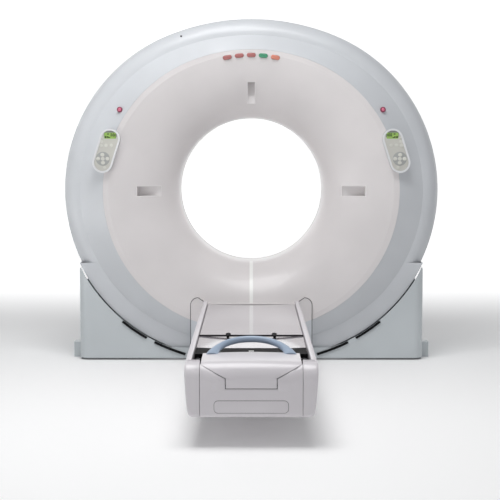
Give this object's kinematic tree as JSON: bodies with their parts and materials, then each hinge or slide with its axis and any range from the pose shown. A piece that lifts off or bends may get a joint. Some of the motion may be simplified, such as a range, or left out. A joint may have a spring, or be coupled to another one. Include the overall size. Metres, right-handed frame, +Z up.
{
  "type": "ct scanner",
  "caption": "Large-bore CT scanner: tilting ring gantry with trumpet-shaped bore on a floor base, and a low patient couch on a scissor lift with a sliding top.",
  "frame": {"origin": "on the floor under the isocentre, the middle of the four gantry anchor holes", "axes": "+Z up; the bore runs along Y and the couch lies on the -Y side; +X is to the right when facing the gantry from the couch"},
  "size_m": [2.3, 3.072, 2.0828],
  "materials": {
    "cool_shell": "satin lacquered moulding, cool grey-white",
    "warm_shell": "satin lacquered moulding, warm grey-white",
    "scan_film": "thin translucent film ring",
    "couch_shell": "satin lacquered moulding, near white",
    "cradle_laminate": "satin laminate, grey-mauve",
    "black_rubber": "matt black",
    "handle_plastic": "satin blue-grey",
    "dark_plastic": "matt dark grey",
    "panel_sheet": "satin warm grey keypad sheet",
    "panel_rubber": "satin grey domed keys",
    "display_glass": "green liquid crystal display",
    "lamp_lens": "tinted lens",
    "stop_ring": "maroon collar",
    "stop_red": "red mushroom",
    "frame_paint": "grey powder coat",
    "shroud_grey": "satin grey paint",
    "bright_steel": "ground steel",
    "cast_metal": "machined aluminium",
    "unit_grey": "grey enamel"
  },
  "bodies": {
    "base": {"floor_frame": "frame_paint", "column_left": "frame_paint", "column_right": "frame_paint", "base_cover_front": "cool_shell", "base_cover_rear": "cool_shell", "base_cover_sides": "cool_shell", "anchor_covers": "cool_shell", "touch_strips": "black_rubber", "couch_foot": "frame_paint", "lift_gearbox": "unit_grey", "shroud_lower": "shroud_grey"},
    "ring": {"tilt_frame": "frame_paint", "bell_front": "warm_shell", "bell_rear": "warm_shell", "ring_cover_front": "cool_shell", "ring_cover_rear": "cool_shell", "ring_rim_top": "cool_shell", "ring_rim_left": "cool_shell", "ring_rim_right": "cool_shell", "ring_rim_bottom": "cool_shell", "bore_liner": "warm_shell", "scan_window": "scan_film", "interface_panel": "cool_shell", "laser_recesses": "warm_shell", "status_lamps": "lamp_lens", "stop_collars": "stop_ring", "panel_housings": "couch_shell", "panel_faces": "panel_sheet", "panel_displays": "display_glass", "panel_keys": "panel_rubber", "centre_strip": "warm_shell", "bearing_outer_race": "bright_steel"},
    "rotor": {"rotor_drum": "cast_metal", "bearing_inner_race": "bright_steel", "xray_tube": "unit_grey", "hv_generator": "unit_grey", "heat_exchanger": "unit_grey", "detector_arc": "unit_grey"},
    "stop_left": {"stop_button_left": "stop_red"},
    "stop_right": {"stop_button_right": "stop_red"},
    "arm_rising": {"lift_arm_rising": "frame_paint"},
    "arm_falling": {"lift_arm_falling": "frame_paint"},
    "couch": {"couch_frame": "frame_paint", "slide_rails": "bright_steel", "couch_side_left": "couch_shell", "couch_side_right": "couch_shell", "couch_belly": "couch_shell", "end_cover": "couch_shell", "corner_covers": "couch_shell", "shroud_upper": "shroud_grey"},
    "shroud_two": {"shroud_second": "shroud_grey"},
    "shroud_three": {"shroud_third": "shroud_grey"},
    "tabletop": {"cradle_board": "cradle_laminate", "cradle_extension": "cradle_laminate", "cradle_band": "black_rubber", "slide_beam": "cast_metal", "tail_block": "couch_shell", "handle": "handle_plastic"},
    "knob_left": {"lock_knob_left": "dark_plastic"},
    "knob_right": {"lock_knob_right": "dark_plastic"}
  },
  "joints": [
    {"name": "gantry_tilt", "type": "hinge", "parent": "base", "child": "ring", "pos_m": [0, 0, 1.035], "axis": [1, 0, 0], "range_deg": [0, 30]},
    {"name": "rotor_spin", "type": "hinge", "parent": "ring", "child": "rotor", "pos_m": [0, 0, 1.035], "axis": [0, 1, 0], "continuous": true},
    {"name": "couch_lift", "type": "hinge", "parent": "base", "child": "arm_rising", "pos_m": [0, -1.8, 0.05], "axis": [1, 0, 0], "range_deg": [0, 28]},
    {"name": "arm_cross", "type": "hinge", "parent": "arm_rising", "child": "arm_falling", "pos_m": [0, -1.25301, 0.10749], "axis": [1, 0, 0], "range_deg": [-56.01, 0]},
    {"name": "couch_level", "type": "hinge", "parent": "arm_falling", "child": "couch", "pos_m": [0, -1.8, 0.16498], "axis": [1, 0, 0], "range_deg": [0, 28.01]},
    {"name": "shroud_two_rise", "type": "slide", "parent": "base", "child": "shroud_two", "axis": [0, 0, 1], "range_m": [0, 0.16672]},
    {"name": "shroud_three_rise", "type": "slide", "parent": "base", "child": "shroud_three", "axis": [0, 0, 1], "range_m": [0, 0.33343]},
    {"name": "top_slide", "type": "slide", "parent": "couch", "child": "tabletop", "axis": [0, 1, 0], "range_m": [0, 0.3001]},
    {"name": "stop_left_press", "type": "slide", "parent": "ring", "child": "stop_left", "axis": [0, 1, 0], "range_m": [0, 0.004], "stiffness_N_per_m": 1500, "springref_m": -0.002},
    {"name": "stop_right_press", "type": "slide", "parent": "ring", "child": "stop_right", "axis": [0, 1, 0], "range_m": [0, 0.004], "stiffness_N_per_m": 1500, "springref_m": -0.002},
    {"name": "knob_left_turn", "type": "hinge", "parent": "tabletop", "child": "knob_left", "pos_m": [-0.116, -1.776, 0.357], "axis": [0, 0, 1], "range_deg": [0, 90]},
    {"name": "knob_right_turn", "type": "hinge", "parent": "tabletop", "child": "knob_right", "pos_m": [0.116, -1.776, 0.357], "axis": [0, 0, 1], "range_deg": [0, 90]}
  ],
  "couplings": [
    {"joint": "arm_cross", "follows": "couch_lift", "ratio": -2},
    {"joint": "couch_level", "follows": "couch_lift", "ratio": 1},
    {"joint": "shroud_two_rise", "follows": "couch_lift", "m_per_rad": 0.34114},
    {"joint": "shroud_three_rise", "follows": "couch_lift", "m_per_rad": 0.68227},
    {"joint": "top_slide", "follows": "couch_lift", "m_per_rad": 0.61388}
  ]
}
